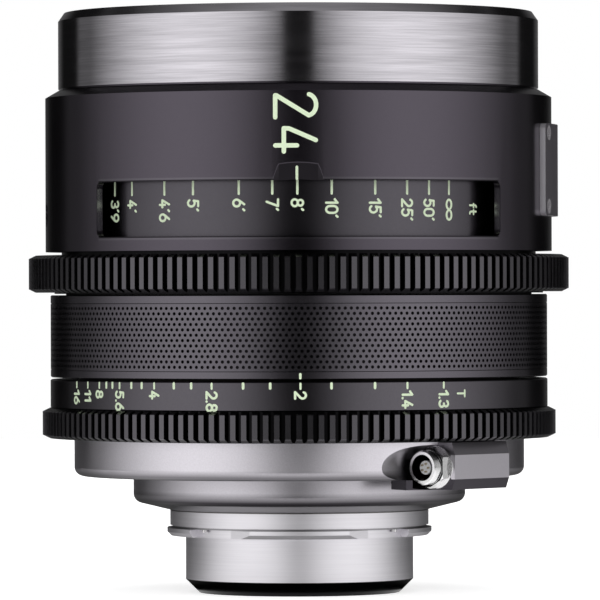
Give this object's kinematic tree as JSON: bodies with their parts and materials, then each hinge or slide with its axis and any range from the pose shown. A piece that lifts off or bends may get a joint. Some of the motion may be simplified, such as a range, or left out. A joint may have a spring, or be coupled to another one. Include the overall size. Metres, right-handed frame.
{
  "type": "cinema prime lens",
  "caption": "Large camera lens with geared focus and iris rings, a perforated grip sleeve, a scale window, a data connector and a round bayonet mount with ears.",
  "frame": {"origin": "centre of the mount's flange seat, on the lens axis", "axes": "+Z along the lens axis towards the front glass, -Y towards the side with the index lines"},
  "size_m": [0.1282, 0.1282, 0.1374],
  "materials": {
    "silver_metal": "fine brushed, clear anodised",
    "barrel_metal": "satin, dark grey anodised",
    "plate_metal": "satin, dark grey anodised",
    "black_screw": "blackened",
    "drum_metal": "matt black anodised",
    "gear_metal": "satin black anodised",
    "ring_metal": "satin black anodised",
    "sleeve_metal": "satin black anodised",
    "grey_metal": "bead blasted, clear anodised",
    "block_metal": "bead blasted, grey anodised",
    "mount_steel": "satin turned",
    "screw_steel": "turned",
    "brass_shim": "rolled",
    "brass_tube": "hard anodised",
    "roller_brass": "turned",
    "connector_metal": "satin nickel plated",
    "insulator": "moulded",
    "gold_contact": "gold plated",
    "board": "coated board",
    "slip_plastic": "machined",
    "cell_metal": "matt black anodised",
    "black_inside": "matt black anodised",
    "blade_steel": "blackened sheet",
    "front_glass": "polished and coated",
    "optical_glass": "polished and coated"
  },
  "bodies": {
    "lens_barrel": {"rear_tube": "mount_steel", "rear_baffle": "black_inside", "mount_flange": "mount_steel", "mount_shim": "brass_shim", "mount_base": "grey_metal", "mount_screws": "screw_steel", "flange_screws": "screw_steel", "rear_housing": "grey_metal", "circuit_board": "board", "connector_block": "block_metal", "connector_shell": "connector_metal", "connector_nut": "connector_metal", "connector_washer": "connector_metal", "connector_insert": "insulator", "connector_pins": "gold_contact", "main_tube": "brass_tube", "iris_slip_ring": "slip_plastic", "grip_sleeve": "sleeve_metal", "stop_pins": "screw_steel", "focus_slip_ring": "slip_plastic", "upper_barrel": "barrel_metal", "side_plug": "barrel_metal", "badge_plate": "plate_metal", "badge_screws": "black_screw", "front_ring": "silver_metal", "front_bezel": "black_inside", "front_cell": "cell_metal", "front_retainer": "black_inside", "element_1": "front_glass", "element_2": "optical_glass", "element_3": "optical_glass", "iris_cell": "cell_metal", "iris_retainer": "cell_metal", "rear_cell": "cell_metal", "rear_spacers": "cell_metal", "rear_group_ring": "cell_metal", "rear_retainer": "black_inside", "element_6": "optical_glass", "element_7": "optical_glass", "element_8": "optical_glass", "element_9": "optical_glass"},
    "focus_assembly": {"focus_gear": "gear_metal", "scale_drum": "drum_metal", "cam_barrel": "brass_tube"},
    "focus_carrier": {"focus_cell": "cell_metal", "element_4": "optical_glass", "element_5": "optical_glass", "cam_rollers": "roller_brass"},
    "iris_assembly": {"iris_gear": "gear_metal", "iris_ring": "ring_metal", "iris_drive_ring": "cell_metal"},
    "blade_1": {"iris_blade_1": "blade_steel"},
    "blade_2": {"iris_blade_2": "blade_steel"},
    "blade_3": {"iris_blade_3": "blade_steel"},
    "blade_4": {"iris_blade_4": "blade_steel"},
    "blade_5": {"iris_blade_5": "blade_steel"},
    "blade_6": {"iris_blade_6": "blade_steel"},
    "blade_7": {"iris_blade_7": "blade_steel"},
    "blade_8": {"iris_blade_8": "blade_steel"},
    "blade_9": {"iris_blade_9": "blade_steel"}
  },
  "joints": [
    {"name": "focus_turn", "type": "hinge", "parent": "lens_barrel", "child": "focus_assembly", "pos_m": [0, 0, 0], "axis": [0, 0, 1], "range_deg": [-40.5, 259.5]},
    {"name": "focus_travel", "type": "slide", "parent": "lens_barrel", "child": "focus_carrier", "axis": [0, 0, 1], "range_m": [-0.00163, 0.01039]},
    {"name": "iris_turn", "type": "hinge", "parent": "lens_barrel", "child": "iris_assembly", "pos_m": [0, 0, 0], "axis": [0, 0, 1], "range_deg": [-34.5, 62.5]},
    {"name": "blade_1_pivot", "type": "hinge", "parent": "lens_barrel", "child": "blade_1", "pos_m": [0, -0.031, 0.0274], "axis": [0, 0, 1], "range_deg": [-15.2, 27.5]},
    {"name": "blade_2_pivot", "type": "hinge", "parent": "lens_barrel", "child": "blade_2", "pos_m": [0.01993, -0.02375, 0.0274], "axis": [0, 0, 1], "range_deg": [-15.2, 27.5]},
    {"name": "blade_3_pivot", "type": "hinge", "parent": "lens_barrel", "child": "blade_3", "pos_m": [0.03053, -0.00538, 0.0274], "axis": [0, 0, 1], "range_deg": [-15.2, 27.5]},
    {"name": "blade_4_pivot", "type": "hinge", "parent": "lens_barrel", "child": "blade_4", "pos_m": [0.02685, 0.0155, 0.0274], "axis": [0, 0, 1], "range_deg": [-15.2, 27.5]},
    {"name": "blade_5_pivot", "type": "hinge", "parent": "lens_barrel", "child": "blade_5", "pos_m": [0.0106, 0.02913, 0.0274], "axis": [0, 0, 1], "range_deg": [-15.2, 27.5]},
    {"name": "blade_6_pivot", "type": "hinge", "parent": "lens_barrel", "child": "blade_6", "pos_m": [-0.0106, 0.02913, 0.0274], "axis": [0, 0, 1], "range_deg": [-15.2, 27.5]},
    {"name": "blade_7_pivot", "type": "hinge", "parent": "lens_barrel", "child": "blade_7", "pos_m": [-0.02685, 0.0155, 0.0274], "axis": [0, 0, 1], "range_deg": [-15.2, 27.5]},
    {"name": "blade_8_pivot", "type": "hinge", "parent": "lens_barrel", "child": "blade_8", "pos_m": [-0.03053, -0.00538, 0.0274], "axis": [0, 0, 1], "range_deg": [-15.2, 27.5]},
    {"name": "blade_9_pivot", "type": "hinge", "parent": "lens_barrel", "child": "blade_9", "pos_m": [-0.01993, -0.02375, 0.0274], "axis": [0, 0, 1], "range_deg": [-15.2, 27.5]}
  ],
  "couplings": [
    {"joint": "focus_travel", "follows": "focus_turn", "m_per_rad": 0.0022918},
    {"joint": "blade_1_pivot", "follows": "iris_turn", "ratio": 0.43913},
    {"joint": "blade_2_pivot", "follows": "iris_turn", "ratio": 0.43913},
    {"joint": "blade_3_pivot", "follows": "iris_turn", "ratio": 0.43913},
    {"joint": "blade_4_pivot", "follows": "iris_turn", "ratio": 0.43913},
    {"joint": "blade_5_pivot", "follows": "iris_turn", "ratio": 0.43913},
    {"joint": "blade_6_pivot", "follows": "iris_turn", "ratio": 0.43913},
    {"joint": "blade_7_pivot", "follows": "iris_turn", "ratio": 0.43913},
    {"joint": "blade_8_pivot", "follows": "iris_turn", "ratio": 0.43913},
    {"joint": "blade_9_pivot", "follows": "iris_turn", "ratio": 0.43913}
  ]
}
